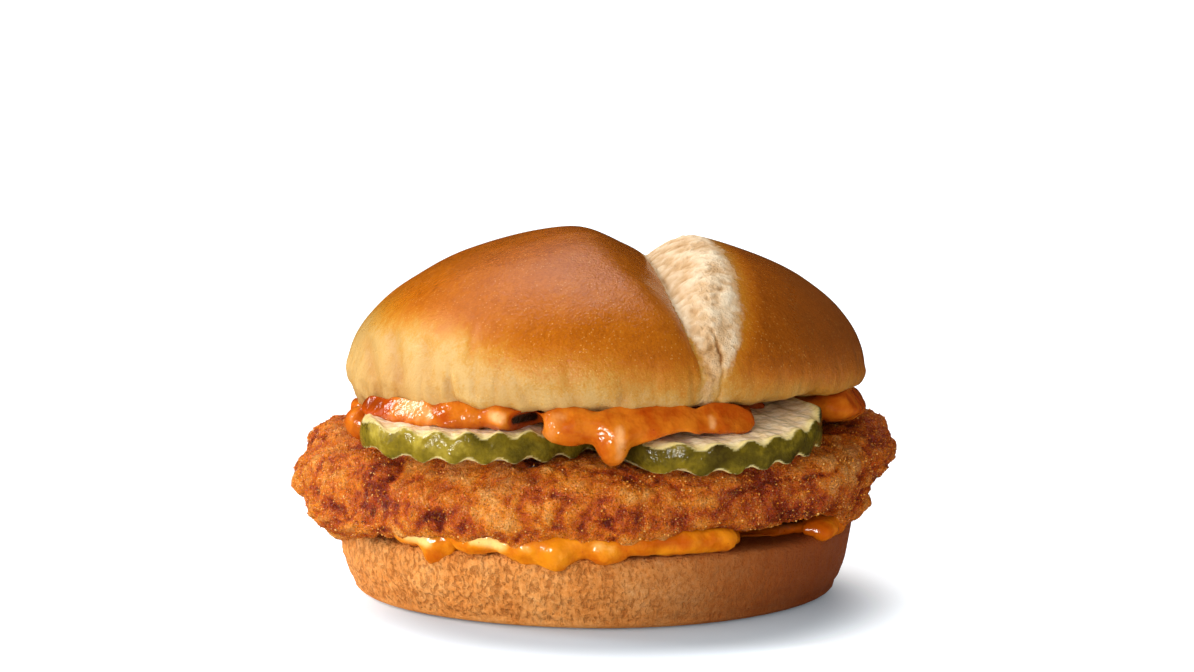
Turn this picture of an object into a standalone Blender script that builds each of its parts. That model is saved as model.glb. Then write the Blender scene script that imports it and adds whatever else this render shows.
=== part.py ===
# A crispy chicken burger: bun heel, sauce, breaded fillet, two crinkle-cut pickle slices,
# sauce and a split-top bun crown. Metres, +Z up, +X to the eater's right, -Y towards the front.
# The origin is the middle of the heel's flat underside.

import math
import random

import bmesh
import bpy
from mathutils import Euler, Matrix, Vector, noise

# Driving dimensions
BUN_WIDTH = 0.104
BURGER_HEIGHT = 0.0712
HEEL_WIDTH = 0.1006
HEEL_HEIGHT = 0.0142
FILLET_UNDERSIDE = 0.0174
FILLET_THICKNESS = 0.0149
CROWN_BASE = 0.0382
PICKLE_THICKNESS = 0.0052
CRINKLE_PITCH = 0.0056
CRINKLE_DEPTH = 0.0007
CRINKLE_STEPS = 6
CLEARANCE = 0.0003
SAUCE_GRAIN = 0.0010
SAUCE_DETAIL = 0.040
FILLET_GRAIN = 0.0013
FILLET_DETAIL = 0.072

# Reach of the fillet's rim from the middle, every 30 degrees from +X round by the back
FILLET_REACH = (
    0.0590, 0.0570, 0.0535, 0.0515, 0.0530, 0.0565,
    0.0590, 0.0580, 0.0545, 0.0535, 0.0530, 0.0560,
)
FILLET_LUMPS = ((0.017, 0.0026), (0.0075, 0.0016))
FILLET_LOBES = 34
FILLET_CURL = 0.0018
FILLET_SAG = 0.0012
FILLET_DROOP = 0.0048
FILLET_DROOP_SIDE = math.radians(196)

# The crown leans back off the pickles, and the left side of its base sits a little lower
CROWN_PITCH = math.radians(3.0)
CROWN_ROLL = math.radians(-1.9)
CROWN_WIDEST = 0.0049
CLEFT_OFFSET = 0.0078
CLEFT_BEND = 0.0148
CLEFT_DEPTH = 0.0060
CLEFT_SHOULDER = 0.0135
CLEFT_WIDTH = 0.0138

COLOURS = {
    "heel": (0.62, 0.27, 0.09),
    "fillet": (0.50, 0.16, 0.03),
    "sauce": (0.86, 0.25, 0.04),
    "pickle": (0.33, 0.36, 0.07),
    "crown": (0.66, 0.29, 0.08),
}


def clear_scene():
    for old in list(bpy.data.objects):
        bpy.data.objects.remove(old)


def food_material(name, roughness):
    material = bpy.data.materials.new(name)
    material.use_nodes = True
    shader = material.node_tree.nodes["Principled BSDF"]
    shader.inputs["Base Color"].default_value = (*COLOURS[name], 1.0)
    shader.inputs["Roughness"].default_value = roughness
    shader.inputs["Metallic"].default_value = 0.0
    return material


def smooth_step(low, high, value):
    share = min(1.0, max(0.0, (value - low) / (high - low)))
    return share * share * (3.0 - 2.0 * share)


def around(values, angle):
    """The closed run of values read at an angle, joined by a Catmull-Rom curve."""
    place = (angle % math.tau) / math.tau * len(values)
    first = int(place)
    t = place - first
    a, b, c, d = (values[(first + k) % len(values)] for k in (-1, 0, 1, 2))
    return 0.5 * (2 * b + (c - a) * t + (2 * a - 5 * b + 4 * c - d) * t**2 + (3 * b - a - 3 * c + d) * t**3)


def ripple(angle, *waves):
    """A sum of (count, height, phase) waves round the food."""
    return sum(height * math.cos(count * angle + phase) for count, height, phase in waves)


def shaped_round(name, segments, profile, material):
    """A closed body from a profile(angle) of points, from its lower pole to its upper pole."""
    body = bmesh.new()
    rings = None
    for k in range(segments):
        angle = math.tau * k / segments
        points = profile(angle)
        if rings is None:
            rings = [[] for _ in points[1:-1]]
            foot, head = body.verts.new(points[0]), body.verts.new(points[-1])
        for ring, point in zip(rings, points[1:-1]):
            ring.append(body.verts.new(point))
    for k in range(segments):
        after = (k + 1) % segments
        body.faces.new((foot, rings[0][after], rings[0][k]))
        for low, high in zip(rings, rings[1:]):
            body.faces.new((low[k], low[after], high[after], high[k]))
        body.faces.new((head, rings[-1][k], rings[-1][after]))
    return placed(name, body, material)


def placed(name, body, material):
    bmesh.ops.recalc_face_normals(body, faces=body.faces)
    mesh = bpy.data.meshes.new(name)
    body.to_mesh(mesh)
    body.free()
    mesh.shade_smooth()
    if material:
        mesh.materials.append(material)
    piece = bpy.data.objects.new(name, mesh)
    bpy.context.scene.collection.objects.link(piece)
    return piece


def at(angle, radius, height):
    return Vector((radius * math.cos(angle), radius * math.sin(angle), height))


def heel_radius(angle):
    return HEEL_WIDTH / 2 + ripple(angle, (2, 0.0003, 0.6), (3, 0.0003, 2.0), (5, 0.0002, 1.0))


def heel_profile(angle):
    """Flat underside, a rounded lower edge, a nearly upright side and a cut top."""
    radius = heel_radius(angle)
    foot, bend, power = radius - 0.0082, 0.0095, 2.6
    points = [at(angle, r, 0.0) for r in (0.0, 0.6 * foot, foot)]
    steps = 6
    for k in range(1, steps + 1):
        turn = math.pi / 2 * k / steps
        out = math.sin(turn) ** (2 / power)
        up = 1 - math.cos(turn) ** (2 / power)
        points.append(at(angle, foot + (radius - foot) * out, bend * up))
    top = HEEL_HEIGHT + ripple(angle, (2, 0.0003, 1.0), (3, 0.0002, 0.3))
    points.append(at(angle, radius + 0.0002, top - 0.0012))
    points.append(at(angle, radius - 0.0004, top - 0.0003))
    points.append(at(angle, radius - 0.0014, top))
    points.append(at(angle, 0.62 * radius, HEEL_HEIGHT))
    points.append(at(angle, 0.0, HEEL_HEIGHT))
    return points


def fillet_profile(angle):
    """A thick cutlet, its rim lumpy and hanging over the heel on the left."""
    reach = around(FILLET_REACH, angle)
    middle = FILLET_UNDERSIDE + FILLET_THICKNESS / 2
    hang = FILLET_DROOP * max(0.0, math.cos(angle - FILLET_DROOP_SIDE)) ** 3
    curl = FILLET_CURL * math.cos(angle) ** 4
    latitudes = (-90, -70, -56, -46, -39, -33, -27, -22, -17, -12, -7, -2)
    latitudes += tuple(-latitude for latitude in latitudes[::-1])
    points = []
    for latitude in latitudes:
        turn = math.radians(latitude)
        out = math.cos(turn) ** 0.45 if abs(latitude) < 90 else 0.0
        up = math.copysign(abs(math.sin(turn)) ** 0.62, turn)
        point = at(angle, reach * out, middle + FILLET_THICKNESS / 2 * up)
        outward = Vector((point.x, point.y, 2.5 * (point.z - middle))).normalized()
        rim = smooth_step(0.036, 0.050, reach * out)
        bump = sum(depth * noise.noise(point / size) for size, depth in FILLET_LUMPS)
        point += outward * bump * rim
        sag = FILLET_SAG * max(0.0, -math.sin(angle))
        point.z += curl * smooth_step(0.034, 0.052, reach * out)
        point.z -= (hang + sag) * smooth_step(0.045, 0.056, reach * out)
        points.append(point)
    return points


def cleft_line(y):
    """Where the split runs: straight over the top, then bending to the right at the front."""
    share = max(0.0, -2 * y / BUN_WIDTH)
    return CLEFT_OFFSET + CLEFT_BEND * share**2.8, 2.8 * CLEFT_BEND * share**1.8 * 2 / BUN_WIDTH


def cleft_sink(x, y):
    """Depth of the split at a place: a rounded shoulder to its left, a torn wall to its right."""
    line, slope = cleft_line(y)
    across = (x - line) / math.sqrt(1 + slope**2)
    to_rim = smooth_step(0.026, 0.050, math.hypot(x, y))
    depth = CLEFT_DEPTH * (1 - 0.62 * to_rim)
    if across < 0:
        return depth * max(0.0, 1 + across / (CLEFT_SHOULDER * (1 - 0.5 * to_rim))) ** 2.2
    return depth * max(0.0, 1 - across / (CLEFT_WIDTH * (1 - 0.6 * to_rim))) ** 1.7


def crown_profile(angle):
    """A cut base, a curled lower edge and an oval dome with its split."""
    radius = BUN_WIDTH / 2 + ripple(angle, (3, 0.0003, 0.5), (5, 0.0002, 0.1))
    rise = BURGER_HEIGHT - CROWN_BASE - CROWN_WIDEST
    points = [at(angle, r, 0.0) for r in (0.0, 0.55 * radius, 0.90 * radius, radius - 0.0030)]
    points.append(at(angle, radius - 0.0011, 0.0014))
    for latitude in [*range(0, 70, 5), *range(70, 90, 2), 90]:
        turn = math.radians(latitude)
        points.append(at(angle, radius * math.cos(turn), CROWN_WIDEST + rise * math.sin(turn)))
    for point in points[4:]:
        steep = Vector((point.x / radius**2, point.y / radius**2, (point.z - CROWN_WIDEST) / rise**2))
        edge = smooth_step(0.0, CROWN_WIDEST, point.z)
        point -= steep.normalized() * cleft_sink(point.x, point.y) * (0.35 + 0.65 * edge)
    for point in points:
        point.z -= math.tan(CROWN_ROLL) * point.x * max(0.0, 1 - point.z / CROWN_WIDEST)
    return points


def pickle_slice(name, width, depth, centre, lean, material):
    """An oval slice cut by a crinkle blade: the waves run across it, along its own Y."""
    body = bmesh.new()
    steps = round(width / CRINKLE_PITCH * CRINKLE_STEPS)
    rows = []
    for k in range(steps + 1):
        turn = math.pi * k / steps
        x = -width / 2 * math.cos(turn)
        y = depth / 2 * max(0.06, math.sin(turn))
        wave = CRINKLE_DEPTH * math.sin(math.tau * x / CRINKLE_PITCH)
        corners = ((-y, -1), (y, -1), (y, 1), (-y, 1))
        rows.append([body.verts.new((x, side, wave + up * PICKLE_THICKNESS / 2)) for side, up in corners])
    body.faces.new(rows[0])
    body.faces.new(rows[-1][::-1])
    for row, after in zip(rows, rows[1:]):
        for k in range(4):
            body.faces.new((row[k], row[k - 1], after[k - 1], after[k]))
    piece = placed(name, body, material)
    piece.data.transform(Matrix.Translation(centre) @ Euler(lean).to_matrix().to_4x4())
    return piece


def rim_lobes(count, chance):
    """Rounded crags of coating all round the fillet's rim, of differing size."""
    middle = FILLET_UNDERSIDE + FILLET_THICKNESS / 2
    lowest = HEEL_HEIGHT + 0.0014
    lobes = []
    for k in range(count):
        angle = math.tau * (k + chance.uniform(-0.3, 0.3)) / count
        size = chance.uniform(0.0042, 0.0066)
        radius = around(FILLET_REACH, angle) - size + chance.uniform(-0.0004, 0.0016)
        height = middle + chance.uniform(-0.0034, 0.0028) - FILLET_SAG * max(0.0, -math.sin(angle))
        centre = at(angle, radius, max(height, lowest + 0.72 * size))
        lobes.append((centre, (size, size, 0.72 * size)))
    return lobes


def add_lump(body, centre, size):
    """A rounded lump."""
    made = bmesh.ops.create_uvsphere(body, u_segments=16, v_segments=10, radius=1.0)["verts"]
    bmesh.ops.scale(body, vec=size, verts=made)
    bmesh.ops.translate(body, vec=centre, verts=made)


def sauce_layer(name, middle, thickness, reach, lean, lumps, material):
    """A spread with rounded edges, its lumps and runs melted into it."""
    half = thickness / 2

    def profile(angle):
        edge = reach(angle)
        points = [at(angle, share * edge, -half) for share in (0.0, 0.5, 0.94)]
        for turn in (-40, 0, 40):
            bend = math.radians(turn)
            points.append(at(angle, edge - half * (1 - math.cos(bend)), half * math.sin(bend)))
        return points + [at(angle, share * edge, half) for share in (0.94, 0.5, 0.0)]

    layer = shaped_round(name, 72, profile, material)
    layer.data.transform(Matrix.Translation((0, 0, middle)) @ Euler(lean).to_matrix().to_4x4())
    return melted(layer, lumps, SAUCE_GRAIN, 5, SAUCE_DETAIL)


def melted(piece, lumps, grain, rounds, share):
    """The piece with its lumps run into it, softened, and thinned to a share of its triangles."""
    body = bmesh.new()
    body.from_mesh(piece.data)
    for centre, size in lumps:
        add_lump(body, centre, size)
    body.to_mesh(piece.data)
    body.free()
    melt = piece.modifiers.new("melt", "REMESH")
    melt.mode = "VOXEL"
    melt.voxel_size = grain
    soften = piece.modifiers.new("soften", "SMOOTH")
    soften.factor = 0.5
    soften.iterations = rounds
    return thinned(piece, share)


def thinned(piece, share):
    """Keeps this share of the triangles, most of them where the shape bends."""
    fewer = piece.modifiers.new("fewer", "DECIMATE")
    fewer.ratio = share
    settle(piece)
    return piece


def settle(piece):
    """Fixes the modifiers into the mesh."""
    graph = bpy.context.evaluated_depsgraph_get()
    mesh = bpy.data.meshes.new_from_object(piece.evaluated_get(graph))
    piece.modifiers.clear()
    piece.data = mesh


def clear_of(piece, *neighbours, solver="EXACT"):
    """Cuts the piece back from its neighbours, leaving the clearance."""
    for neighbour in neighbours:
        body = bmesh.new()
        body.from_mesh(neighbour.data)
        body.normal_update()
        for vertex, normal in [(v, v.normal.copy()) for v in body.verts]:
            vertex.co += normal * 1.25 * CLEARANCE
        guide = placed(neighbour.name + "_room", body, None)
        cut = piece.modifiers.new(neighbour.name, "BOOLEAN")
        cut.operation = "DIFFERENCE"
        cut.solver = solver
        cut.object = guide
        settle(piece)
        bpy.data.objects.remove(guide)
    drop_scraps(piece)


def drop_scraps(piece):
    """Keeps the largest connected body of the mesh."""
    body = bmesh.new()
    body.from_mesh(piece.data)
    left, groups = set(body.verts), []
    while left:
        group, edge = set(), {left.pop()}
        while edge:
            group |= edge
            edge = {e.other_vert(v) for v in edge for e in v.link_edges} - group
        left -= group
        groups.append(group)
    largest = max(groups, key=len)
    bmesh.ops.delete(body, geom=[v for v in body.verts if v not in largest], context="VERTS")
    body.to_mesh(piece.data)
    body.free()


def on_rim(angle_deg, radius, height):
    return at(math.radians(angle_deg), radius, height)


def build():
    clear_scene()
    heel = shaped_round("heel", 54, heel_profile, food_material("heel", 0.75))
    end_lobes = [
        ((-0.0508, 0.0020, 0.0276), (0.0082, 0.0120, 0.0054)),
        ((-0.0528, -0.0050, 0.0226), (0.0078, 0.0100, 0.0058)),
        ((-0.0472, -0.0130, 0.0172), (0.0074, 0.0090, 0.0052)),
        ((0.0512, 0.0040, 0.0288), (0.0086, 0.0140, 0.0058)),
        ((0.0496, -0.0060, 0.0222), (0.0080, 0.0120, 0.0056)),
        ((0.0465, -0.0150, 0.0190), (0.0068, 0.0110, 0.0046)),
    ]
    fillet = shaped_round("fillet", 150, fillet_profile, food_material("fillet", 0.45))
    melted(fillet, end_lobes + rim_lobes(FILLET_LOBES, random.Random(5)), FILLET_GRAIN, 2, FILLET_DETAIL)
    crown = thinned(shaped_round("crown", 120, crown_profile, food_material("crown", 0.35)), 0.27)
    crown.data.transform(
        Matrix.Translation((0.0012, 0, CROWN_BASE)) @ Euler((-CROWN_PITCH, 0, 0)).to_matrix().to_4x4()
    )
    green = food_material("pickle", 0.3)
    left = pickle_slice(
        "pickle_left", 0.0464, 0.0400, (-0.0212, -0.0300, 0.0352), (0.04, 0, 0.10), green
    )
    right = pickle_slice(
        "pickle_right", 0.0404, 0.0350, (0.0226, -0.0345, 0.0354), (0.11, -0.10, 0.55), green
    )
    orange = food_material("sauce", 0.2)

    heel_lumps = [
        (on_rim(224.0, 0.0478, 0.0164), (0.0040, 0.0030, 0.0020)),
        (on_rim(232.5, 0.0500, 0.0150), (0.0030, 0.0026, 0.0042)),
        (on_rim(243.0, 0.0490, 0.0160), (0.0050, 0.0028, 0.0022)),
        (on_rim(252.0, 0.0492, 0.0162), (0.0050, 0.0026, 0.0022)),
        (on_rim(261.5, 0.0500, 0.0154), (0.0046, 0.0027, 0.0040)),
        (on_rim(272.0, 0.0500, 0.0156), (0.0040, 0.0024, 0.0028)),
        (on_rim(284.0, 0.0490, 0.0162), (0.0060, 0.0026, 0.0022)),
        (on_rim(296.0, 0.0490, 0.0164), (0.0054, 0.0030, 0.0022)),
        (on_rim(329.0, 0.0496, 0.0154), (0.0038, 0.0052, 0.0026)),
        (on_rim(12.0, 0.0494, 0.0158), (0.0026, 0.0052, 0.0024)),
        (on_rim(38.0, 0.0498, 0.0152), (0.0032, 0.0040, 0.0038)),
        (on_rim(72.0, 0.0496, 0.0156), (0.0066, 0.0028, 0.0026)),
        (on_rim(98.0, 0.0500, 0.0152), (0.0038, 0.0026, 0.0040)),
        (on_rim(124.0, 0.0494, 0.0158), (0.0056, 0.0032, 0.0024)),
        (on_rim(158.0, 0.0496, 0.0156), (0.0028, 0.0052, 0.0026)),
        (on_rim(182.0, 0.0486, 0.0160), (0.0030, 0.0050, 0.0020)),
    ]
    lower_sauce = sauce_layer(
        "sauce_lower", (HEEL_HEIGHT + FILLET_UNDERSIDE) / 2, 0.0022,
        lambda angle: 0.0478 + ripple(angle, (3, 0.0005, 0.4), (7, 0.0006, 1.0)),
        (0, 0, 0), heel_lumps, orange,
    )
    crown_lumps = [
        ((0.0048, -0.0500, 0.0362), (0.0044, 0.0034, 0.0052)),
        ((-0.0010, -0.0480, 0.0386), (0.0090, 0.0040, 0.0032)),
        ((0.0130, -0.0485, 0.0378), (0.0066, 0.0038, 0.0032)),
        ((0.0245, -0.0440, 0.0384), (0.0056, 0.0040, 0.0026)),
        ((-0.0140, -0.0465, 0.0392), (0.0060, 0.0040, 0.0018)),
        ((-0.0260, -0.0410, 0.0388), (0.0070, 0.0044, 0.0020)),
        ((-0.0370, -0.0320, 0.0380), (0.0060, 0.0044, 0.0022)),
        ((-0.0448, -0.0208, 0.0352), (0.0040, 0.0036, 0.0036)),
        ((0.0480, -0.0080, 0.0372), (0.0052, 0.0072, 0.0036)),
        ((0.0440, 0.0200, 0.0366), (0.0040, 0.0070, 0.0026)),
        ((0.0300, 0.0390, 0.0356), (0.0066, 0.0056, 0.0030)),
        ((0.0040, 0.0490, 0.0346), (0.0080, 0.0032, 0.0022)),
        ((-0.0220, 0.0440, 0.0346), (0.0070, 0.0044, 0.0028)),
        ((-0.0420, 0.0240, 0.0346), (0.0046, 0.0066, 0.0026)),
        ((-0.0466, 0.0020, 0.0352), (0.0030, 0.0060, 0.0022)),
    ]
    upper_sauce = sauce_layer(
        "sauce_upper", CROWN_BASE - 0.0030, 0.0044,
        lambda angle: 0.0465 + ripple(angle, (4, 0.0008, 1.4), (7, 0.0006, 0.2)),
        (-CROWN_PITCH, CROWN_ROLL, 0), crown_lumps, orange,
    )
    clear_of(fillet, heel, left, right)
    clear_of(crown, left, right)
    clear_of(lower_sauce, heel, fillet)
    clear_of(upper_sauce, fillet, left, right, crown, solver="MANIFOLD")


build()
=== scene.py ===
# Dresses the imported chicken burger: bread, breading, pickles and sauces, on a white studio floor.
import math
import random

import bpy
import numpy as np
from mathutils import Euler, Matrix, Vector, noise


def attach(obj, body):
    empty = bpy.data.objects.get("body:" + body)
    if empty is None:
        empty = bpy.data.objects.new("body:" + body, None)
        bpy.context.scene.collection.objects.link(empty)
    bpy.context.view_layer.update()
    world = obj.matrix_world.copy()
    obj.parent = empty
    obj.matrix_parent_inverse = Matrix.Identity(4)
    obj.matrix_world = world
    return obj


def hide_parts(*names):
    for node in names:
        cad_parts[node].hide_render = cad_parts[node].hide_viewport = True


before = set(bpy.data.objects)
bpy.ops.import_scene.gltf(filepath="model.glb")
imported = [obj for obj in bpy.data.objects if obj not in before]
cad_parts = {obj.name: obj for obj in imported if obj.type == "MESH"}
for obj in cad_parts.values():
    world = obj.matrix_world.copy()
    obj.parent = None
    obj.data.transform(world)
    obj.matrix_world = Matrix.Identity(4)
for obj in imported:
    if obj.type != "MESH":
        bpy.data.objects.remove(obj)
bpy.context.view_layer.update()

mm = 0.001


def choose(piece):
    bpy.ops.object.select_all(action="DESELECT")
    piece.select_set(True)
    bpy.context.view_layer.objects.active = piece


def copyOfNode(node, name):
    # a merged copy of a CAD node, as a piece of its own
    piece = bpy.data.objects.new(name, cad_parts[node].data.copy())
    bpy.context.scene.collection.objects.link(piece)
    piece.data.materials.clear()
    choose(piece)
    bpy.ops.object.mode_set(mode="EDIT")
    bpy.ops.mesh.select_all(action="SELECT")
    bpy.ops.mesh.remove_doubles(threshold=0.01 * mm)
    bpy.ops.object.mode_set(mode="OBJECT")
    return piece


def work(piece, kind, **settings):
    # adds a modifier and applies it
    choose(piece)
    modifier = piece.modifiers.new(kind.title(), kind)
    for key, value in settings.items():
        setattr(modifier, key, value)
    bpy.ops.object.modifier_apply(modifier=modifier.name)


def resurface(piece, grain, rounds):
    work(piece, "REMESH", mode="VOXEL", voxel_size=grain)
    work(piece, "SMOOTH", factor=0.5, iterations=rounds)


def pointsOf(piece):
    flat = np.empty(len(piece.data.vertices) * 3)
    piece.data.vertices.foreach_get("co", flat)
    return flat.reshape(-1, 3)


def normalsOf(piece):
    flat = np.empty(len(piece.data.vertices) * 3)
    piece.data.vertex_normals.foreach_get("vector", flat)
    return flat.reshape(-1, 3)


def putPoints(piece, points):
    piece.data.vertices.foreach_set("co", points.astype(np.float32).ravel())
    piece.data.update()


def paint(piece, name, values):
    # a number for each point, which the materials read by name
    layer = piece.data.attributes.new(name, "FLOAT", "POINT")
    layer.data.foreach_set("value", np.asarray(values, np.float32))


def lumpy(points, size, seed=0.0):
    # smooth noise from -1 to 1 with lumps of this size
    return np.fromiter((noise.noise(Vector(p)) for p in points / size + seed), float, len(points))


def ridged(points, size, seed=0.0):
    # 1 on sharp creases, falling to 0 between them
    return 1 - np.minimum(1.0, 2.2 * np.abs(lumpy(points, size, seed)))


def cells(points, size, seed=0.0):
    # distance to the nearest of scattered centres, 0 at a centre and about 0.7 between them
    return np.fromiter((noise.voronoi(Vector(p))[0][0] for p in points / size + seed), float, len(points))


def stroke(points, path, width):
    # 1 along a path drawn on the front view in mm (x, z), fading out over its width
    spots = points[:, (0, 2)] / mm
    nearest = np.full(len(points), 1e9)
    for start, end in zip(path[:-1], path[1:]):
        start, run = np.array(start), np.array(end) - np.array(start)
        share = np.clip((spots - start) @ run / (run @ run), 0, 1)
        nearest = np.minimum(nearest, np.linalg.norm(spots - start - share[:, None] * run, axis=1))
    return np.exp(-(nearest / width) ** 2) * (points[:, 1] < 0)


def ease(low, high, values):
    share = np.clip((values - low) / (high - low), 0, 1)
    return share * share * (3 - 2 * share)


def settle(piece, node, material):
    # smooth shading, its material, and its place in the frame
    choose(piece)
    bpy.ops.object.shade_smooth()
    piece.data.materials.clear()
    piece.data.materials.append(material)
    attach(piece, "root")
    if node:
        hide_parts(node)
    print(piece.name, len(piece.data.vertices), "points")


class Number:
    # a socket that Python's operators work on
    def __init__(self, recipe, socket):
        self.recipe, self.socket = recipe, socket

    def maths(self, operation, first, second):
        made = self.recipe.node("ShaderNodeMath", {"operation": operation}, {0: first, 1: second})
        return Number(self.recipe, made.outputs[0])

    def __add__(self, other):
        return self.maths("ADD", self, other)

    def __sub__(self, other):
        return self.maths("SUBTRACT", self, other)

    def __rsub__(self, other):
        return self.maths("SUBTRACT", other, self)

    def __mul__(self, other):
        return self.maths("MULTIPLY", self, other)

    __radd__ = __add__
    __rmul__ = __mul__


class Recipe:
    # one material and the nodes that make it
    def __init__(self, name, **fixed):
        self.material = bpy.data.materials.new(name)
        self.material.use_nodes = True
        self.tree = self.material.node_tree
        self.shader = self.tree.nodes["Principled BSDF"]
        for key, value in fixed.items():
            self.shader.inputs[key.replace("_", " ")].default_value = value
        self.place = self.node("ShaderNodeTexCoord").outputs["Object"]

    def node(self, kind, settings=None, inputs=None):
        made = self.tree.nodes.new(kind)
        for key, value in (settings or {}).items():
            if key == "stops":
                while len(made.color_ramp.elements) < len(value):
                    made.color_ramp.elements.new(0.5)
                for stop, (spot, tone) in zip(made.color_ramp.elements, value):
                    stop.position = spot
                    stop.color = tone
            else:
                setattr(made, key, value)
        for key, value in (inputs or {}).items():
            if isinstance(value, Number):
                value = value.socket
            if isinstance(value, bpy.types.NodeSocket):
                self.tree.links.new(value, made.inputs[key])
            else:
                made.inputs[key].default_value = value
        return made

    def grain(self, size, detail=2.0, rough=0.5, place=None):
        # noise with lumps of about this size in metres
        made = self.node("ShaderNodeTexNoise", None, {
            "Vector": place or self.place, "Scale": 1 / size, "Detail": detail, "Roughness": rough,
        })
        return Number(self, made.outputs["Fac"])

    def stretched(self, factors):
        # the place on the piece, drawn out along its axes
        made = self.node("ShaderNodeVectorMath", {"operation": "MULTIPLY"}, {0: self.place, 1: factors})
        return made.outputs[0]

    def dots(self, size):
        made = self.node("ShaderNodeTexVoronoi", None, {"Vector": self.place, "Scale": 1 / size})
        return Number(self, made.outputs["Distance"])

    def painted(self, name):
        return Number(self, self.node("ShaderNodeAttribute", {"attribute_name": name}).outputs["Fac"])

    def axis(self, name):
        return Number(self, self.node("ShaderNodeSeparateXYZ", None, {0: self.place}).outputs[name])

    def band(self, value, low, high):
        made = self.node("ShaderNodeMapRange", {"interpolation_type": "SMOOTHSTEP"}, {
            "Value": value, "From Min": low, "From Max": high,
        })
        return Number(self, made.outputs["Result"])

    def ramp(self, value, *stops):
        stops = [(spot, shade(code)) for spot, code in stops]
        return self.node("ShaderNodeValToRGB", {"stops": stops}, {0: value}).outputs["Color"]

    def mix(self, share, first, second):
        return self.node("ShaderNodeMix", {"data_type": "RGBA"}, {0: share, 6: first, 7: second}).outputs[2]

    def bump(self, height, depth, under=None):
        inputs = {"Height": height, "Distance": depth, "Strength": 1.0}
        if under is not None:
            inputs["Normal"] = under
        return self.node("ShaderNodeBump", None, inputs).outputs["Normal"]

    def feed(self, name, value):
        self.tree.links.new(value.socket if isinstance(value, Number) else value, self.shader.inputs[name])


def shade(code):
    # a colour code as the linear numbers that the shaders use
    parts = [int(code[k:k + 2], 16) / 255 for k in (0, 2, 4)]
    return (*(p / 12.92 if p <= 0.04045 else ((p + 0.055) / 1.055) ** 2.4 for p in parts), 1.0)


# the split-top bun half
crownLook = {
    # the smooth oval that the bun was before it split, which leans forward a little; lists are in mm
    "width": 104 * mm,
    "foot": Vector((1.2 * mm, 0, 38.2 * mm)),
    "pitch": math.radians(-3.0),
    "widest": 4.9 * mm,
    "rise": 28.1 * mm,
    "grain": 0.66 * mm,
    "shoulderDrop": 1.0 * mm,
    "topLift": 0.9 * mm,
    "edgeHang": 1.1 * mm,
    "lipLean": 0.4 * mm,
    # where the split runs, and how deep and wide it is
    "splitY": (-52, -48, -46, -43.3, -38, -32, -26, -20, -12, 0, 20, 52),
    "splitX": (20.5, 18.2, 16.3, 14.6, 13.0, 11.8, 10.6, 9.2, 7.6, 6.3, 5.6, 5.0),
    "splitDepth": 6.2 * mm,
    "leftShoulder": 13.5 * mm,
    "rightShoulder": 12.0 * mm,
    # how wide the crumb is torn at each height
    "tornHeights": (2.0, 7.0, 10.2, 12.1, 16.6, 20.6, 26.2, 31.0),
    "tornWidths": (2.4, 4.0, 6.4, 8.8, 11.4, 12.8, 14.2, 14.6),
    "crumbDepth": 0.65 * mm,
    "holeDepth": 0.40 * mm,
    "crackDepth": 0.60 * mm,
    "crackWidth": 0.30 * mm,
    # where the crumb is cracked, and how high the pale lower edge reaches along the front, drawn lower on
    # the right partly as painted shade
    "crackHeights": (0.5, 4.4, 7.4, 10.2, 13.0, 15.4, 16.6),
    "crackX": (21.0, 21.5, 21.8, 21.6, 20.8, 19.7, 17.6),
    "creamX": (-60, -45, -36, -29, -22, -14, 0, 8, 18, 30, 60),
    "creamHeights": (16, 15.5, 14.5, 13, 10, 7.5, 6.5, 5, 4.5, 3, 0.5),
    # creases pressed into the crust, and painted darker as shade: path on the front view, width, depth in
    # mm
    "creases": (
        (((-24.1, 15.2), (-24.4, 12.0), (-24.8, 9.0)), 0.7, 0.14),
        (((-28.8, 5.3), (-28.4, 2.1), (-24.9, 0.4)), 0.8, 0.40),
        (((-27.2, 6.0), (-26.6, 3.0), (-23.0, 1.6)), 1.1, -0.22),
        (((-33.0, 12.0), (-32.5, 7.0), (-31.6, 2.0)), 1.1, 0.30),
        (((-40.0, 13.0), (-38.4, 6.0), (-37.6, 1.0)), 1.3, 0.42),
        (((-45.5, 11.0), (-44.0, 6.0), (-43.0, 1.0)), 1.1, 0.45),
        (((-51.7, 2.6), (-49.0, -0.5)), 0.8, 0.60),
        (((-18.0, 5.0), (-17.0, 1.0)), 0.9, 0.18),
        (((-9.0, 6.5), (-8.6, 1.0)), 0.8, 0.12),
        (((3.0, 6.0), (3.6, 1.0)), 0.9, 0.18),
        (((34.0, 6.0), (33.0, 1.0)), 1.0, 0.22),
    ),
    # from the pale edge to the darkest top, and from the crumb's holes and crack, darkened as painted
    # shade, to its fluff
    "crustTones": (
        (0.0, "bc9658"), (0.12, "b88638"), (0.26, "b47018"),
        (0.45, "aa5a08"), (0.65, "904604"), (1.0, "602a02"),
    ),
    "crumbTones": (
        (0.02, "8a5426"), (0.22, "b88a56"), (0.42, "d2ac80"),
        (0.62, "e6cca8"), (0.85, "f2e0c2"),
    ),
}


def acrossSplit(p):
    # how far each point is to the right of the split, square to it
    x = np.interp(p[:, 1] / mm, crownLook["splitY"], crownLook["splitX"]) * mm
    before, after = (
        np.interp(p[:, 1] / mm + step, crownLook["splitY"], crownLook["splitX"]) for step in (-2.5, 2.5)
    )
    slope = (after - before) / 5
    return (p[:, 0] - x) / np.sqrt(1 + slope**2)


def tornReach(p):
    # how wide the torn crumb is at each point's height, less towards the back
    width = np.interp(p[:, 2] / mm, crownLook["tornHeights"], crownLook["tornWidths"]) * mm
    return width * (1 - ease(0, 30 * mm, p[:, 1]) * 0.5)


def aroundRim(p):
    # points rolled out along the rim and drawn upright, for creases that run up the side
    return np.column_stack([np.arctan2(p[:, 1], p[:, 0]) * 46 * mm, p[:, 2] * 0.25, np.zeros(len(p))])


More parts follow.
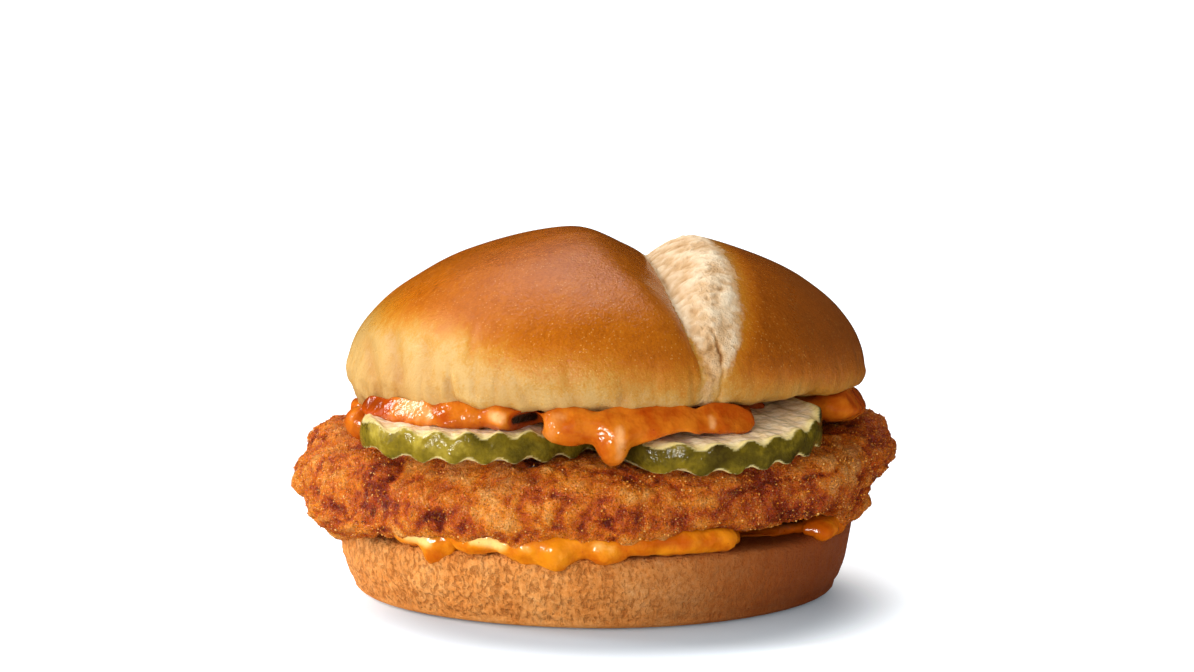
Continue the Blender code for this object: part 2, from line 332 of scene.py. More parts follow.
def rimCreases(p):
    # 1 on an upright crease, for the wide ones and for the fine ones
    rolled = aroundRim(p)
    return ridged(rolled, 7 * mm, 2.0) ** 4, ridged(rolled, 2.6 * mm, 4.0) ** 3


def makeCrown():
    look = crownLook
    crown = copyOfNode("crown", "crownBread")
    resurface(crown, look["grain"], 6)

    seat = Matrix.Translation(look["foot"]) @ Euler((look["pitch"], 0, 0)).to_matrix().to_4x4()
    crown.data.transform(seat.inverted())
    p = pointsOf(crown)

    across, tornWidth = acrossSplit(p), tornReach(p)
    toRim = ease(26 * mm, 50 * mm, np.hypot(p[:, 0], p[:, 1]))

    # back onto the smooth oval dome, then down into the split
    half = np.array([look["width"] / 2, look["width"] / 2, look["rise"]])
    centre = np.array([0, 0, look["widest"]])
    reach = np.linalg.norm((p - centre) / half, axis=1)
    dome = centre + (p - centre) / reach[:, None]
    steep = (dome - centre) / half**2
    steep /= np.linalg.norm(steep, axis=1)[:, None]
    depth = look["splitDepth"] * (1 - 0.62 * toRim) * (0.4 + 0.6 * ease(4 * mm, 17 * mm, dome[:, 2]))
    left = np.clip(1 + across / (look["leftShoulder"] * (1 - 0.5 * toRim)), 0, 1) ** 2.2
    right = np.clip(1 - across / (look["rightShoulder"] * (1 - 0.55 * toRim)), 0, 1) ** 1.7
    dome -= steep * (depth * np.where(across < 0, 0.84 * left, right))[:, None]
    onDome = ease(4.2 * mm, 6.2 * mm, p[:, 2])
    p = p + (dome - p) * onDome[:, None]

    # a lower left shoulder and a fuller top
    shoulder = np.exp(-((p[:, 0] + 43 * mm) / (14 * mm)) ** 2) * ease(3 * mm, 9 * mm, p[:, 2])
    p -= steep * (look["shoulderDrop"] * shoulder)[:, None]
    fuller = look["topLift"] * np.exp(-((p[:, 0] + 8 * mm) / (9 * mm)) ** 2)
    p[:, 2] += fuller * ease(10 * mm, 24 * mm, p[:, 2])

    # the left lobe's lip leans over the torn crumb
    lip = np.exp(-((across + 1.4 * mm) / (1.9 * mm)) ** 2) * ease(0, 4 * mm, p[:, 2])
    p[:, 0] += look["lipLean"] * lip
    putPoints(crown, p)
    n = normalsOf(crown)

    # soft unevenness all over, and upright creases and a wavy edge low on the side
    relief = 0.50 * mm * lumpy(p, 24 * mm, 1.0) + 0.14 * mm * lumpy(p, 8 * mm, 5.0)
    low = 1 - ease(5 * mm, 13 * mm, p[:, 2])
    wideCreases, fineCreases = rimCreases(p)
    relief -= 0.42 * mm * wideCreases * low
    relief -= 0.16 * mm * fineCreases * low
    edge = 1 - ease(1 * mm, 6 * mm, p[:, 2])
    relief += edge * (0.45 * mm * lumpy(p, 4 * mm, 6.0) + 0.90 * mm * lumpy(p, 8 * mm, 8.0))
    for path, width, deep in look["creases"]:
        relief -= 1.4 * deep * mm * stroke(p, path, width)
    p[:, 2] -= look["edgeHang"] * edge * np.clip(lumpy(aroundRim(p), 6 * mm, 12.0), 0, None)
    putPoints(crown, p + n * relief[:, None])

    # finer points where the crumb is torn
    torn = ease(-0.3 * mm, 0.4 * mm, across) * (1 - ease(2.0 * mm, 3.5 * mm, across - tornWidth))
    torn *= ease(0, 1.5 * mm, p[:, 2])
    crown.data.vertices.foreach_set("select", torn > 0.02)
    choose(crown)
    bpy.ops.object.mode_set(mode="EDIT")
    bpy.ops.mesh.select_mode(type="VERT")
    bpy.ops.mesh.subdivide(number_cuts=1)
    bpy.ops.object.mode_set(mode="OBJECT")
    p, n = pointsOf(crown), normalsOf(crown)

    across, tornWidth = acrossSplit(p), tornReach(p)
    uneven = 0.9 * mm * lumpy(p, 5 * mm, 3.0) + 0.6 * mm * lumpy(p, 1.7 * mm, 7.0)
    above = ease(0, 1.5 * mm, p[:, 2])
    fade = 1 - ease(8 * mm, 18 * mm, p[:, 2])
    torn = ease(0.1 * mm, (0.8 + 1.8 * fade) * mm, across + fade * uneven)
    torn *= (1 - ease(-3.2 * mm, 2.4 * mm, across - tornWidth + uneven)) * above
    fibres = p @ np.array(Euler((0, 0.5, 0.2)).to_matrix()) * np.array([1, 1, 0.75])
    crumb = 0.50 * lumpy(p, 4.2 * mm, 11.0) + 0.40 * lumpy(fibres, 1.9 * mm, 13.0)
    crumb += 0.30 * lumpy(fibres, 0.9 * mm, 17.0)
    holes = ease(0.36, 0.14, cells(fibres, 1.9 * mm, 5.0)) * ease(0.0, 0.35, lumpy(p, 6 * mm, 23.0))
    crackX = np.interp(p[:, 2] / mm, look["crackHeights"], look["crackX"]) * mm
    toCrack = p[:, 0] - crackX + 0.25 * mm * lumpy(p, 1.5 * mm, 19.0)
    lowPart = (1 - ease(14.5 * mm, 17 * mm, p[:, 2])) * above * (p[:, 1] < 0)
    crack = np.exp(-(toCrack / look["crackWidth"]) ** 2) * lowPart
    crack *= 0.75 + 0.4 * lumpy(p, 3 * mm, 27.0)
    strip = ease(0.3 * mm, 0.9 * mm, across) * (1 - ease(-0.8 * mm, 0.1 * mm, toCrack)) * lowPart
    relief = torn**1.6 * (look["crumbDepth"] * crumb - look["holeDepth"] * holes)
    relief -= look["crackDepth"] * crack
    relief += strip * mm * (0.40 * lumpy(fibres, 1.0 * mm, 29.0) - 0.1)
    putPoints(crown, p + n * relief[:, None])

    paint(crown, "torn", torn)
    # the crumb's own tone, drawn darker in its holes and along the crack as painted shade
    paint(crown, "crumb", crumb - 0.3 * holes - 0.9 * crack - 0.2 * strip)
    # how brown the crust is drawn: 0 pale, 1 caramel, more than 1 dark; its own browning, with painted
    # shade low on the right and a painted rim light at the far left
    creamLine = np.interp(p[:, 0] / mm, look["creamX"], look["creamHeights"]) * mm
    bake = ease(-5 * mm, 7 * mm, p[:, 2] - creamLine + 1.6 * mm * lumpy(p, 9 * mm, 31.0))
    beside = np.clip(1 - (across - tornWidth) / (5.6 * mm), 0, 1) * (across > 0)
    bake *= 1 - 0.60 * beside
    # painted shade: browner low on the right
    bake += 0.50 * ease(16 * mm, 40 * mm, p[:, 0]) * ease(2 * mm, 14 * mm, p[:, 2]) * (1 - beside)
    bake += 0.16 * ease(22 * mm, 31 * mm, p[:, 2]) * (1 - beside)
    # painted rim light: paler towards the far left edge
    bake *= 1 - 0.4 * ease(-34 * mm, -50 * mm, p[:, 0])
    paint(crown, "bake", bake)
    # painted shade: the creases, and the upright creases low on the side, drawn darker in colour
    pressed = 1.6 * sum(deep * stroke(p, path, 1.3 * width) for path, width, deep in look["creases"])
    wideCreases, fineCreases = rimCreases(p)
    pressed += (1 - ease(4 * mm, 11 * mm, p[:, 2])) * (0.5 * wideCreases + 0.25 * fineCreases)
    paint(crown, "creased", pressed)
    lowMatt, rightMatt = 1 - ease(5 * mm, 15 * mm, p[:, 2]), ease(28 * mm, 44 * mm, p[:, 0])
    paint(crown, "matt", np.maximum(lowMatt, rightMatt))
    crown.data.transform(seat)
    settle(crown, "crown", crustMaterial())


def crustMaterial():
    r = Recipe("bunCrust", Specular_IOR_Level=0.17)
    fine = r.grain(0.45 * mm, 3, 0.65)
    streaks = r.grain(1.3 * mm, 3, 0.5, r.stretched((1, 1, 0.3)))
    bake = r.painted("bake") + (r.grain(7 * mm, 3, 0.6) - 0.5) * 0.45
    bake = bake + (r.grain(1.6 * mm, 3, 0.6) - 0.5) * 0.45 + (fine - 0.5) * 0.75 + (streaks - 0.5) * 0.40
    crust = r.ramp(bake * 0.5, *crownLook["crustTones"])
    crumb = r.ramp(r.painted("crumb") * 0.5 + 0.5, *crownLook["crumbTones"])
    torn = r.band(r.painted("torn") + (r.grain(1.0 * mm, 2) - 0.5) * 0.6, 0.1, 0.9)
    pores = r.band(r.dots(0.75 * mm), 0.26, 0.10) * r.band(r.grain(4 * mm, 2), 0.34, 0.56)
    crust = r.mix(pores * 0.38, crust, shade("deac5e"))
    # painted shade: darker towards the right, on the side away from the lamps
    crust = r.mix(r.band(r.axis("X"), -28 * mm, 12 * mm) * 0.16, crust, shade("7a4c1c"))
    # painted shade: darker in the creases
    crust = r.mix(r.painted("creased") * 0.55, crust, shade("9a6222"))
    r.feed("Base Color", r.mix(torn, crust, crumb))
    r.feed("Roughness", torn * 0.5 + 0.14 + (fine - 0.5) * 0.12 + r.painted("matt") * 0.25)
    dimples = r.bump(r.grain(1.8 * mm, 2), 0.09 * mm)
    skin = r.bump(r.grain(0.6 * mm, 3, 0.65) + streaks * 0.3, 0.20 * mm, dimples)
    r.feed("Normal", r.bump(r.grain(0.45 * mm, 3, 0.7) * torn, 0.5 * mm, skin))
    return r.material


# the lower bun half
heelLook = {
    "grain": 0.58 * mm,
    "waviness": 0.40 * mm,
    "pebbleDepth": 0.55 * mm,
    "wrinkleDepth": 0.18 * mm,
    # how far the side moves in or out at each height, in mm, and how far more at the right
    "heights": (0, 1, 2, 4.5, 7, 11, 15),
    "taper": (2.4, 1.3, 0.4, -0.1, 0.4, 0.6, 0.6),
    "flare": (-0.8, -0.9, -1.3, -0.7, -1.0, -0.6, 0.0),
    "tones": ((0.30, "cc722a"), (0.45, "e69042"), (0.58, "f2a458"), (0.75, "f8b874")),
}


def makeHeel():
    look = heelLook
    heel = copyOfNode("heel", "heelBread")
    resurface(heel, look["grain"], 5)
    p = pointsOf(heel)
    angle, radius = np.arctan2(p[:, 1], p[:, 0]), np.hypot(p[:, 0], p[:, 1])
    rim = ease(30 * mm, 46 * mm, radius)
    toRight = np.clip(np.cos(angle), 0, 1) ** 3
    taper = np.interp(p[:, 2] / mm, look["heights"], look["taper"])
    taper += toRight * np.interp(p[:, 2] / mm, look["heights"], look["flare"])
    p[:, :2] *= (1 + taper * mm * rim / np.maximum(radius, 1 * mm))[:, None]
    putPoints(heel, p)
    n = normalsOf(heel)
    side = ease(0.4 * mm, 2.2 * mm, p[:, 2]) * ease(38 * mm, 44 * mm, radius)
    leftSide = 0.35 + 0.65 * ease(35 * mm, -15 * mm, p[:, 0])
    tall = p * np.array([1, 1, 0.6])
    warp = tall + 1.0 * mm * np.column_stack([lumpy(p, 3 * mm, k) for k in (1.0, 2.0, 3.0)])
    wrinkles = ridged(warp, 3.0 * mm, 4.0) ** 2
    pebbles = 0.5 - cells(warp, 1.7 * mm, 9.0)
    relief = look["waviness"] * lumpy(p, 12 * mm, 2.0)
    relief += leftSide * (look["pebbleDepth"] * pebbles - look["wrinkleDepth"] * wrinkles)
    putPoints(heel, p + n * (relief * side)[:, None])
    # painted shade: darker between the pebbles and down the wrinkles
    paint(heel, "pits", leftSide * side * (0.35 * wrinkles - 0.9 * pebbles))
    paint(heel, "wrinkled", leftSide * side)
    settle(heel, "heel", heelMaterial())


def heelMaterial():
    r = Recipe("bunHeel", Roughness=0.75, Specular_IOR_Level=0.12)
    tone = r.grain(9 * mm, 3, 0.6) * 0.5 + r.grain(0.9 * mm, 3, 0.65) * 0.5
    crust = r.ramp(tone, *heelLook["tones"])
    # painted shade: darker towards the right, on the side away from the lamps
    darker = r.band(r.axis("X"), -14 * mm, 43 * mm)
    crust = r.mix(darker * 0.90, crust, shade("802e00"))
    wrinkled = r.painted("wrinkled")
    swirl = r.node("ShaderNodeTexNoise", None, {
        "Vector": r.place, "Scale": 1 / mm, "Detail": 2.0,
    }).outputs["Color"]
    swirled = r.node("ShaderNodeVectorMath", {"operation": "MULTIPLY_ADD"}, {
        0: swirl, 1: (0.8 * mm,) * 3, 2: r.stretched((1, 1, 0.6)),
    }).outputs[0]
    gaps = r.band(r.grain(0.8 * mm, 3.0, 0.6, swirled), 0.54, 0.34)
    # painted shade in the pits and in the gaps that the bump also sinks, with some random tone
    pitted = r.painted("pits") * 0.5 + gaps * (0.2 + wrinkled * 0.45)
    pitted = pitted + (r.grain(0.5 * mm, 3, 0.7) - 0.5) * 0.6
    r.feed("Base Color", r.mix(r.band(pitted, 0.0, 0.9) * 0.6, crust, shade("a4500f")))
    fine = r.grain(0.6 * mm, 4, 0.75)
    r.feed("Normal", r.bump(fine - gaps * wrinkled * 0.7, 0.7 * mm))
    return r.material


# the breaded chicken
filletLook = {
    "grain": 0.60 * mm,
    "humpSize": 13 * mm,
    "cragSize": 6.0 * mm,
    "knobSize": 2.7 * mm,
    "gravelSize": 1.2 * mm,
    "creaseSize": 16 * mm,
    "grains": 9000,
    # smallest and largest radius of a loose grain in mm, and how far from the middle they start
    "grainSizes": (0.07, 0.22),
    "grainsFrom": 42 * mm,
    # how far the front lip hangs down over the lower sauce
    "droop": 1.8 * mm,
    # how far the two ends rise off the heel
    "rightRise": 3.6 * mm,
    "leftRise": 1.2 * mm,
    # from the deepest creases, drawn darker partly as painted shade, to the highest crumbs, and the loose
    # grains
    "tones": (
        (0.04, "6a1602"), (0.22, "9a2e02"), (0.38, "c85206"),
        (0.54, "e4700a"), (0.72, "f28a22"), (0.94, "fca850"),
    ),
    "grainTones": ((0.0, "943a08"), (0.35, "c06010"), (0.7, "de8a24"), (1.0, "f4bc6c")),
    # golden or redder places on the front view: path, width, amount
    "tints": (
        (((-33.0, 31.0), (-27.0, 30.0)), 4.0, 0.9), (((-16.5, 30.5), (-13.0, 29.0)), 2.6, 0.7),
        (((-7.0, 31.0), (-3.0, 30.5)), 2.8, 0.6), (((-8.0, 25.6), (-5.0, 25.4)), 2.6, 0.8),
        (((-22.5, 26.4), (-19.0, 26.0)), 2.8, 0.5), (((-48.0, 26.0), (-46.0, 23.0)), 3.6, 0.7),
        (((-51.0, 30.0), (-50.0, 27.5)), 3.0, 0.5), (((-37.0, 20.5), (-35.6, 19.0)), 2.0, 0.6),
        (((-54.0, 21.0), (-52.0, 18.5)), 2.6, 0.4), (((18.0, 28.4), (20.0, 25.6)), 2.6, 1.0),
        (((4.5, 26.6), (10.0, 27.6)), 3.0, 0.7), (((45.0, 29.2), (47.6, 28.0)), 3.0, 0.8),
        (((42.6, 26.2), (46.0, 25.8)), 2.2, 0.6), (((-10.8, 31.0), (-10.6, 27.8)), 1.2, -1.2),
        (((-34.0, 24.2), (-30.0, 22.8)), 2.6, -0.8), (((-28.4, 21.8), (-18.0, 19.8)), 2.4, -0.8),
        (((-2.0, 22.6), (1.4, 23.6)), 2.0, -1.1), (((-29.4, 28.2), (-28.2, 27.0)), 1.2, -0.8),
        (((-39.4, 30.0), (-38.8, 24.0)), 1.4, -0.8), (((14.0, 23.2), (16.2, 23.0)), 2.2, -0.9),
        (((37.0, 21.6), (42.0, 21.6)), 2.8, -0.9), (((30.0, 22.8), (33.6, 22.4)), 2.6, -0.6),
        (((41.0, 34.6), (47.0, 34.0)), 3.0, -0.6), (((51.6, 34.4), (54.4, 32.0)), 2.6, -0.8),
    ),
}


def makeFillet():
    look = filletLook
    fillet = copyOfNode("fillet", "filletCrust")
    resurface(fillet, look["grain"], 4)
    p, n = pointsOf(fillet), normalsOf(fillet)
    radius = np.hypot(p[:, 0], p[:, 1])
    rim = 0.25 + 0.75 * ease(36 * mm, 46 * mm, radius)
    ends = ease(38 * mm, 52 * mm, np.abs(p[:, 0]))
    warp = p * np.array([1, 1, 1.6])
    warp = warp + 1.8 * mm * np.column_stack([lumpy(p, 6 * mm, k) for k in (1.0, 2.0, 3.0)])
    humps = lumpy(warp, look["humpSize"], 4.0)
    crags = 0.30 - cells(warp, look["cragSize"], 5.0) ** 2
    knobs = 0.28 - cells(warp, look["knobSize"], 6.0) ** 2
    creases = ridged(warp, look["creaseSize"], 7.0) ** 6
    creases *= ease(-0.1, 0.3, lumpy(p, look["creaseSize"], 9.0))
    gravel = lumpy(p, look["gravelSize"], 8.0)
    tints = sum(amount * stroke(p, path, width) for path, width, amount in look["tints"])
    relief = humps + (0.8 + 1.1 * ends) * crags + (0.65 + 0.5 * ends) * knobs - creases
    relief = relief + 0.42 * gravel + 0.25 * tints
    lip = ease(42 * mm, 50 * mm, radius) * ease(0, -20 * mm, p[:, 1]) * ease(27 * mm, 20 * mm, p[:, 2])
    p[:, 2] -= look["droop"] * lip
    p[:, 2] += look["rightRise"] * ease(44 * mm, 54 * mm, p[:, 0]) * ease(27 * mm, 16 * mm, p[:, 2])
    p[:, 2] += look["leftRise"] * ease(-48 * mm, -56 * mm, p[:, 0]) * ease(24 * mm, 14 * mm, p[:, 2])
    putPoints(fillet, p + n * (relief * mm * rim)[:, None])
    # the colour follows the relief: the breading's own browning, and painted shade down in the creases
    height = 0.4 * humps + 0.8 * crags + 0.7 * knobs - 0.8 * creases
    paint(fillet, "height", height + 0.20 * gravel + 0.30 * tints)
    settle(fillet, "fillet", breadingMaterial())
    return fillet


def breadingMaterial():
    r = Recipe("breading", Specular_IOR_Level=0.30)
    height = r.painted("height") * 0.72 + r.grain(2.4 * mm, 3, 0.65) + 0.01
    base = r.ramp(height, *filletLook["tones"])
    redder = r.band(r.grain(10 * mm, 3, 0.5), 0.46, 0.64)
    base = r.mix(redder * 0.45, base, shade("a83402"))
    # painted shade: darker and redder towards the right, on the side away from the lamps
    base = r.mix(r.band(r.axis("X"), -5 * mm, 55 * mm) * 0.32, base, shade("942c04"))
    grit = r.grain(0.55 * mm, 3, 0.7)
    # painted highlight on the grit's raised points and painted shade in its hollows, which the bump below
    # raises and sinks
    base = r.mix(r.band(grit, 0.54, 0.68) * 0.40, base, shade("f09a3c"))
    base = r.mix(r.band(grit, 0.42, 0.28) * 0.4, base, shade("7c2804"))
    # painted glints: bright dots in the colour
    sparks = r.band(r.dots(0.50 * mm), 0.36, 0.14) * r.band(r.grain(2.4 * mm, 2), 0.42, 0.58)
    base = r.mix(sparks * 0.6, base, shade("fcbc6c"))
    specks = r.band(r.dots(1.9 * mm), 0.15, 0.07) * r.band(r.grain(4 * mm), 0.50, 0.6)
    base = r.mix(specks * 0.7, base, shade("4a1606"))
    r.feed("Base Color", base)
    r.feed("Roughness", 0.38 - r.band(grit, 0.42, 0.62) * 0.22)
    rough = r.bump(r.grain(1.5 * mm, 4, 0.75), 2.0 * mm)
    r.feed("Normal", r.bump(grit, 1.0 * mm, rough))
    return r.material


def scatterGrains(fillet):
    # one rough grain, copied over the breading and joined
    bpy.ops.object.select_all(action="DESELECT")
    bpy.ops.mesh.primitive_ico_sphere_add(subdivisions=1, radius=1.0)
    seed = bpy.context.object
    shape = pointsOf(seed)
    faces = [tuple(f.vertices) for f in seed.data.polygons]
    bpy.data.objects.remove(seed)

    chance = random.Random(12)
    p, n = pointsOf(fillet), normalsOf(fillet)
    outer = [k for k in range(len(p)) if math.hypot(p[k, 0], p[k, 1]) > filletLook["grainsFrom"]]
    points, joined, tones = [], [], []
    for _ in range(filletLook["grains"]):
        k = chance.choice(outer)
        size = chance.uniform(*filletLook["grainSizes"]) * mm
        turn = Euler([chance.uniform(0, 6.3) for axis in range(3)]).to_matrix()
        stretch = np.array([chance.uniform(0.8, 1.5), chance.uniform(0.7, 1.2), chance.uniform(0.4, 0.9)])
        start = len(points) * len(shape)
        points.append((shape * stretch * size) @ np.array(turn).T + p[k] + n[k] * 0.15 * size)
        joined += [tuple(start + v for v in face) for face in faces]
        tones += [chance.random()] * len(shape)
    mesh = bpy.data.meshes.new("breadingGrains")
    mesh.from_pydata(np.concatenate(points).tolist(), [], joined)
    piece = bpy.data.objects.new("breadingGrains", mesh)
    bpy.context.scene.collection.objects.link(piece)
    paint(piece, "tone", tones)
    settle(piece, None, grainMaterial())


def grainMaterial():
    r = Recipe("breadingGrain", Roughness=0.16, Specular_IOR_Level=0.5)
    r.feed("Base Color", r.ramp(r.painted("tone"), *filletLook["grainTones"]))
    r.feed("Normal", r.bump(r.grain(0.4 * mm), 0.1 * mm))
    return r.material


# two crinkle-cut slices
pickleLook = {
    "grain": 0.42 * mm,
    # length and height of the crinkle cut's waves
    "pitch": 5.6 * mm,
    "wave": 0.7 * mm,
    "halfThick": 2.6 * mm,
    "skinTones": ((0.30, "36290a"), (0.44, "53450e"), (0.56, "786416"), (0.72, "ac9638")),
    "fleshTones": ((0.3, "dcbc8a"), (0.55, "ecd4ac"), (0.8, "f4e4c6")),
    "slices": {
        "left": {
            "width": 46.4 * mm,
            "depth": 40.0 * mm,
            "centre": (-21.2 * mm, -30.0 * mm, 35.2 * mm),
            "lean": (0.04, 0, 0.10),
        },
        "right": {
            "width": 40.4 * mm,
            "depth": 35.0 * mm,
            "centre": (22.6 * mm, -34.5 * mm, 35.4 * mm),
            "lean": (0.11, -0.10, 0.55),
        },
    },
}


def makePickle(side, material):
    look, cut = pickleLook, pickleLook["slices"][side]
    pickle = copyOfNode("pickle_" + side, "pickleSlice_" + side)
    resurface(pickle, look["grain"], 5)
    seat = Matrix.Translation(cut["centre"]) @ Euler(cut["lean"]).to_matrix().to_4x4()
    pickle.data.transform(seat.inverted())
    p, n = pointsOf(pickle), normalsOf(pickle)
    reach = np.hypot(p[:, 0] / (cut["width"] / 2), p[:, 1] / (cut["depth"] / 2))
    wave = look["wave"] * np.sin(math.tau * p[:, 0] / look["pitch"])
    fromMiddle = np.abs(p[:, 2] - wave)
    skin = ease(0.93, 0.965, reach) * (1 - ease(2.25 * mm, 2.5 * mm, fromMiddle))
    skin *= 1 - ease(0.55, 0.85, np.abs(n[:, 2]))
    flesh = 1 - ease(0.90, 0.95, reach)
    relief = 0.14 * mm * lumpy(p, 1.6 * mm, 2.0) * flesh + 0.10 * mm * lumpy(p, 5 * mm, 3.0)
    p[:, 2] -= 0.6 * wave * flesh
    rounded = 1 - (fromMiddle / look["halfThick"]) ** 2
    relief += skin * mm * (0.30 * lumpy(p * np.array([1, 1, 0.4]), 3.4 * mm, 5.0) + 0.5 * rounded)
    putPoints(pickle, p + n * relief[:, None])
    pickle.data.transform(seat)
    paint(pickle, "skin", skin)
    paint(pickle, "reach", reach)
    settle(pickle, "pickle_" + side, material)


def pickleMaterial():
    r = Recipe("pickle", Specular_IOR_Level=0.16, Subsurface_Weight=0.25,
               Subsurface_Radius=(0.9, 0.8, 0.25), Subsurface_Scale=1.3 * mm)
    rightSlice = r.band(r.axis("X"), -4 * mm, 16 * mm)
    skinTone = r.grain(8 * mm, 3, 0.5) * 0.8 + r.grain(0.9 * mm, 2) * 0.2 - rightSlice * 0.14 + 0.04
    skin = r.ramp(skinTone, *pickleLook["skinTones"])
    flesh = r.ramp(r.grain(2.2 * mm, 3, 0.6), *pickleLook["fleshTones"])
    flesh = r.mix(r.band(r.painted("reach"), 0.86, 0.98) * 0.6, flesh, shade("c4b45c"))
    r.feed("Base Color", r.mix(r.painted("skin"), flesh, skin))
    r.feed("Roughness", 0.06 + r.grain(2.5 * mm, 2) * 0.22)
    r.feed("Normal", r.bump(r.grain(2.4 * mm, 3, 0.55), 0.6 * mm))
    return r.material


# melted spreads with lumps and runs
sauceLook = {
    "grain": 0.55 * mm,
    "swell": 0.40 * mm,
    # how much of what stands in front of the face is pressed back
    "pressed": 0.93,
    "upper": {
        "deep": "a23e04",
        "bright": "c66e16",
        "pale": "e8b67c",
        "shine": 0.22,
        # what the spread gains over the solid: centre and half sizes in mm
        "lumps": (
            (-42.0, -30.2, 39.4, 5.0, 2.6, 1.7), (-37.5, -35.4, 39.4, 5.0, 2.2, 2.3),
            (-33.0, -38.4, 39.0, 3.8, 2.4, 2.9), (-25.5, -41.8, 39.4, 7.0, 2.4, 2.6),
            (-18.0, -45.2, 39.6, 4.0, 2.2, 2.4), (-26.0, -38.5, 38.8, 8.0, 4.0, 1.5),
            (-5.2, -49.0, 38.6, 5.2, 2.8, 3.6), (4.8, -50.0, 38.4, 5.6, 2.9, 3.8),
            (12.6, -49.6, 40.4, 6.0, 2.8, 1.9), (22.4, -46.0, 39.4, 6.3, 3.2, 2.5),
            (46.2, -13.4, 38.0, 8.5, 6.0, 3.2), (-46.9, -20.4, 35.0, 2.2, 1.5, 2.1),
        ),
        # where its lower edge is drawn up: from x, to x, up to height, share that stays
        "lifts": ((14.5, 17.5, 41.0, 0.6),),
        # the front is pressed flat at this distance from the middle, more below
        "face": (51.4, 40.5, 0.7),
        # tongues drawn narrower: middle, new middle, from height, to height, share of the width
        "tongues": ((6.4, 4.1, 37.4, 35.8, 0.72),),
        "ripple": 0.26 * mm,
        # pushed in from the front: x, z, half width, half height, depth
        "holes": ((-13.3, 38.7, 2.9, 2.1, 9.0), (35.5, 40.5, 5.5, 4.5, 6.0)),
        # paler or darker along a path on the front view: path, width, amount; the pale strokes are paler
        # sauce and painted highlights, and the darkest one is painted shade in the hole
        "tints": (
            (((-34.0, 40.8), (-31.0, 39.4)), 2.3, 0.85), (((-38.5, 40.2), (-36.0, 40.6)), 1.6, 0.6),
            (((-18.6, 40.0), (-16.8, 39.6)), 1.3, 1.2), (((-44.0, 40.0), (-40.8, 40.2)), 2.2, -1.7),
            (((-29.6, 41.4), (-29.2, 39.6)), 1.2, -0.8), (((-25.0, 40.4), (-21.0, 40.4)), 1.6, 0.3),
            (((-15.0, 39.2), (-11.8, 39.2)), 1.2, -3.5), (((-7.0, 40.4), (-8.5, 37.0)), 1.8, 0.6),
            (((4.2, 38.0), (4.2, 33.0)), 1.3, 0.8), (((9.5, 40.0), (10.5, 38.0)), 1.8, -0.5),
            (((21.0, 39.6), (21.2, 38.4)), 1.0, 0.8), (((25.0, 40.0), (30.0, 40.4)), 2.4, -0.4),
            (((44.0, 40.0), (52.0, 38.0)), 3.0, -0.4),
        ),
    },
    "lower": {
        "deep": "b65004",
        "bright": "dc8412",
        "pale": "f8d080",
        "shine": 0.30,
        "lumps": (
            (-34.5, -35.2, 17.0, 6.0, 4.0, 2.8), (-29.0, -39.6, 15.6, 3.4, 2.4, 3.8),
            (-21.0, -44.6, 17.2, 7.5, 3.0, 2.7), (-11.0, -48.6, 15.8, 6.0, 2.4, 3.2),
            (-2.0, -49.2, 17.0, 7.5, 2.4, 2.8), (8.0, -48.8, 17.2, 7.5, 2.6, 2.5),
            (19.0, -45.6, 17.0, 7.5, 2.8, 2.5), (45.0, -22.0, 15.8, 5.5, 3.0, 2.4),
        ),
        "lifts": (),
        "face": (54.0, 17.0, 0.0),
        "tongues": (),
        "ripple": 0.50 * mm,
        "holes": ((34.6, 17.0, 6.5, 6.0, 14.0),),
        # paler or darker along a path: the pale strokes are mostly painted highlights, and the darkest one
        # is painted shade in the gap above the heel's rim
        "tints": (
            (((-36.0, 17.0), (-32.0, 16.0)), 1.5, 1.6), (((-22.6, 17.0), (-17.6, 16.2)), 1.2, 1.4),
            (((-13.6, 16.2), (-12.4, 16.0)), 1.0, 0.7), (((-8.0, 15.0), (-6.0, 13.0)), 1.8, 0.4),
            (((-0.6, 16.8), (2.4, 16.2)), 1.2, 0.7), (((13.0, 15.6), (14.4, 15.8)), 1.0, 0.5),
            (((30.0, 16.6), (38.0, 17.6)), 2.2, -2.6), (((10.0, 17.5), (22.0, 17.0)), 1.6, -0.5),
            (((42.0, 16.0), (50.0, 15.6)), 2.5, -0.5),
        ),
    },
}


